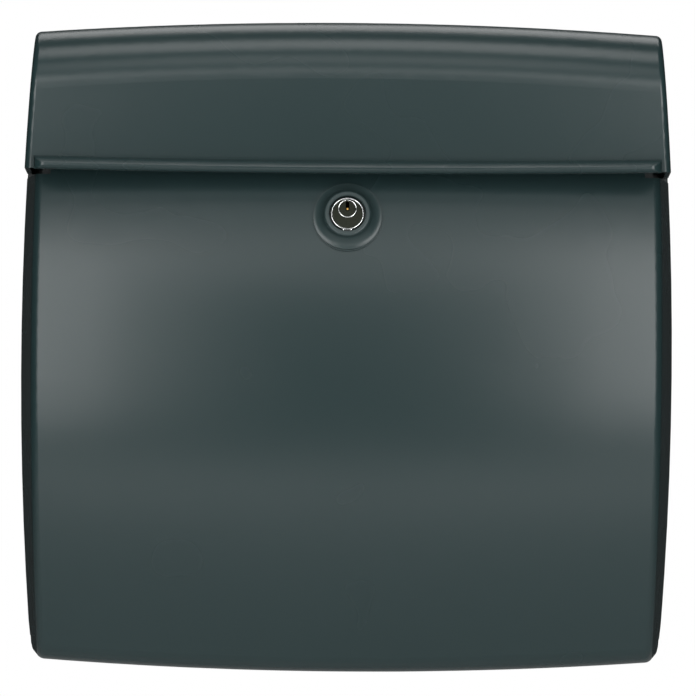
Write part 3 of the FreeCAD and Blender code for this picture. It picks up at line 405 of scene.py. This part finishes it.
class LETTERBOX_OT_lock_face(bpy.types.Operator):
    """Add the bright rim of the lock's face, the ring round the keyway and its front pin"""
    bl_idname = "letterbox.lock_face"
    bl_label = "Lock face"

    def execute(self, context):
        sizes = context.scene.letterbox_lock
        chrome = plated_metal("polished_chrome", "#F2F3F3", "#E2E4E5", 0.14, 3)
        brass = plated_metal("turned_brass", "#E2B468", "#C99A50", 0.3, 1)
        across = sum(corner.y for corner in lock_extent("lock_collar")) / 2
        head = lock_extent("lock_barrel")[1]
        face = head.z
        rim = turned_bead("lock_face_rim", head.x, sizes.rim_width / MM, face,
                          sizes.rim_rise / MM)
        # the locating tab below, which keeps the barrel from turning in its collar
        pick_faces(rim, lambda part: part.normal.y < TAB_FACING
                   and part.center.z < face * MM)
        bpy.ops.mesh.extrude_region_move(
            TRANSFORM_OT_translate={"value": (0, -TAB_REACH * MM, 0)})
        bpy.ops.object.mode_set(mode="OBJECT")
        round_edges(rim, BEAD_EDGE_ROUND)
        settle(rim, across)
        mount(rim, chrome, "door")
        plug_radius = lock_extent("lock_plug")[1].x
        ring = turned_bead("lock_plug_ring", plug_radius, sizes.plug_ring_width / MM, face,
                           sizes.plug_ring_rise / MM)
        # the keyway runs out through the top of the ring
        pick_faces(ring, lambda part: abs(part.center.x) < KEYWAY_HALF_WIDTH * MM
                   and part.center.y > 0 and part.center.z > face * MM)
        bpy.ops.transform.translate(value=(0, 0, -KEYWAY_CUT * sizes.plug_ring_rise))
        bpy.ops.object.mode_set(mode="OBJECT")
        round_edges(ring, BEAD_EDGE_ROUND)
        settle(ring)
        mount(ring, chrome, "lock_core")
        pin = turned("lock_front_pin", [
            (PIN_RADIUS, face - 3.0), (PIN_RADIUS, face - 0.7), (0.55, face - 0.35),
            (0.2, face - 0.25)], sides=PIN_SIDES, ring=False)
        round_edges(pin, PIN_EDGE_ROUND)
        settle(pin)
        mount(pin, brass, "lock_core")
        return {"FINISHED"}


def turned_bead(name, radius, width, face, rise):
    """Round-topped ring that lies on the lock's face, its foot sunk a little into it."""
    foot = face - FOOT_DEPTH
    inner = radius - width
    crest = face + rise
    return turned(name, [
        (radius, foot), (radius, face + 0.25 * rise), (radius - 0.16 * width, crest - 0.2 * rise),
        (radius - 0.42 * width, crest), (radius - 0.62 * width, crest - 0.08 * rise),
        (inner + 0.12 * width, face + 0.3 * rise), (inner, face - 0.1), (inner, foot),
        (radius, foot)])


class LETTERBOX_OT_barrel_thread(bpy.types.Operator):
    """Add the thread that shows on the lock's barrel behind its nut"""
    bl_idname = "letterbox.barrel_thread"
    bl_label = "Barrel thread"

    def execute(self, context):
        sizes = context.scene.letterbox_lock
        barrel_metal = plated_metal("nickel_plated_thread", "#8E9088", "#75776F", 0.3, 2)
        across = sum(corner.y for corner in lock_extent("lock_collar")) / 2
        core = lock_extent("lock_barrel")[1].x - THREAD_CORE_DROP
        start = lock_extent("lock_nut")[0].z - 0.1
        end = lock_extent("stop_washer")[1].z + 0.2
        pitch = sizes.thread_pitch / MM
        crest = core + sizes.thread_height / MM
        steps = [(core - FOOT_DEPTH, start), (core, start)]
        level = start
        while level - pitch > end:
            steps += [(crest, level - 0.4 * pitch), (crest, level - 0.55 * pitch),
                      (core, level - 0.9 * pitch), (core, level - pitch)]
            level -= pitch
        steps += [(core - FOOT_DEPTH, level), (core - FOOT_DEPTH, start)]
        thread = turned("lock_barrel_thread", steps)
        # two flats along the barrel
        flat = (core - FLAT_DROP) * MM
        trim(thread, (flat, 0, 0), (1, 0, 0))
        trim(thread, (-flat, 0, 0), (-1, 0, 0))
        settle(thread, across)
        mount(thread, barrel_metal, "door")
        return {"FINISHED"}


class LETTERBOX_OT_stage(bpy.types.Operator):
    """Add the floor, the soft lights and the camera"""
    bl_idname = "letterbox.stage"
    bl_label = "Stage"

    def execute(self, context):
        sizes = context.scene.letterbox_stage
        make_floor(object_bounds()[0].z - sizes.floor_drop)
        for name, azimuth, elevation, distance, width, height, power in LIGHTS:
            soft_box(name, azimuth, elevation, distance, (width, height), power)
        make_world(sizes.room_light)
        context.scene.view_settings.view_transform = "Standard"
        data = bpy.data.cameras.new("front_camera")
        camera = bpy.data.objects.new("front_camera", data)
        context.scene.collection.objects.link(camera)
        camera.location = (sizes.camera_aside, -sizes.camera_distance, 0)
        camera.rotation_euler = (math.radians(90), sizes.camera_roll, 0)
        data.lens = data.sensor_width * sizes.camera_distance / sizes.view_width
        context.scene.camera = camera
        return {"FINISHED"}


def make_floor(floor_z):
    bpy.ops.object.select_all(action="DESELECT")
    bpy.ops.mesh.primitive_plane_add(size=4.5, location=(0, -0.9, floor_z))
    floor = bpy.context.object
    floor.name = "floor"
    bpy.ops.object.transform_apply(location=True, rotation=True, scale=True)
    pale, tree = new_material("pale_floor")
    place = add_node(tree, "ShaderNodeTexCoord")
    speck = add_node(tree, "ShaderNodeTexNoise", {
        "Vector": place.outputs["Object"], "Scale": 3.0, "Detail": 2.0})
    tint = add_node(tree, "ShaderNodeMixRGB", {
        "Fac": speck.outputs["Fac"], "Color1": linear("#EDEDED"), "Color2": linear("#E8E8E8")})
    finish_material(tree, add_node(tree, "ShaderNodeBsdfPrincipled", {
        "Base Color": tint.outputs["Color"], "Roughness": 0.9}))
    floor.data.materials.append(pale)
    floor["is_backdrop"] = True


def make_world(strength):
    """White behind the object, and a dimmer room that lights it."""
    world = bpy.data.worlds.new("studio_white")
    world.use_nodes = True
    tree = world.node_tree
    tree.nodes.clear()
    seen = add_node(tree, "ShaderNodeLightPath")
    white = add_node(tree, "ShaderNodeBackground", {"Color": (1, 1, 1, 1), "Strength": 1.0})
    room = add_node(tree, "ShaderNodeBackground", {
        "Color": (1, 1, 1, 1), "Strength": strength})
    both = add_node(tree, "ShaderNodeMixShader", {
        0: seen.outputs["Is Camera Ray"], 1: room.outputs[0], 2: white.outputs[0]})
    add_node(tree, "ShaderNodeOutputWorld", {"Surface": both.outputs[0]})
    bpy.context.scene.world = world


def soft_box(name, azimuth, elevation, distance, size, power):
    """A soft rectangular light that looks at the object from a direction in degrees."""
    around, up = math.radians(azimuth), math.radians(elevation)
    place = distance * Vector((math.sin(around) * math.cos(up),
                               -math.cos(around) * math.cos(up), math.sin(up)))
    data = bpy.data.lights.new(name, "AREA")
    data.shape = "RECTANGLE"
    data.size, data.size_y = size
    data.energy = power
    lamp = bpy.data.objects.new(name, data)
    bpy.context.scene.collection.objects.link(lamp)
    lamp.location = place
    lamp.rotation_euler = (-place).to_track_quat("-Z", "Y").to_euler()
    lamp.visible_camera = False


class LETTERBOX_PT_panel(bpy.types.Panel):
    """The letterbox's sizes, finishes and steps"""
    bl_label = "Letterbox"
    bl_idname = "LETTERBOX_PT_panel"
    bl_space_type = "VIEW_3D"
    bl_region_type = "UI"
    bl_category = "Letterbox"

    def draw(self, context):
        for name, group in GROUPS.items():
            values = getattr(context.scene, name)
            column = self.layout.column(align=True)
            for field in group.__annotations__:
                column.prop(values, field)
        for kind in OPERATORS:
            self.layout.operator(kind.bl_idname)


GROUPS = {
    "letterbox_finish": LetterboxFinish,
    "letterbox_lock": LetterboxLock,
    "letterbox_stage": LetterboxStage,
}
OPERATORS = (
    LETTERBOX_OT_shells,
    LETTERBOX_OT_metal,
    LETTERBOX_OT_lock_face,
    LETTERBOX_OT_barrel_thread,
    LETTERBOX_OT_stage,
)
CLASSES = (*GROUPS.values(), *OPERATORS, LETTERBOX_PT_panel)


def register():
    for kind in CLASSES:
        bpy.utils.register_class(kind)
    for name, group in GROUPS.items():
        setattr(bpy.types.Scene, name, PointerProperty(type=group))


def unregister():
    for name in GROUPS:
        delattr(bpy.types.Scene, name)
    for kind in reversed(CLASSES):
        bpy.utils.unregister_class(kind)


def main():
    register()
    bpy.ops.letterbox.shells()
    bpy.ops.letterbox.metal()
    bpy.ops.letterbox.lock_face()
    bpy.ops.letterbox.barrel_thread()
    bpy.ops.letterbox.stage()


if __name__ == "__main__":
    main()
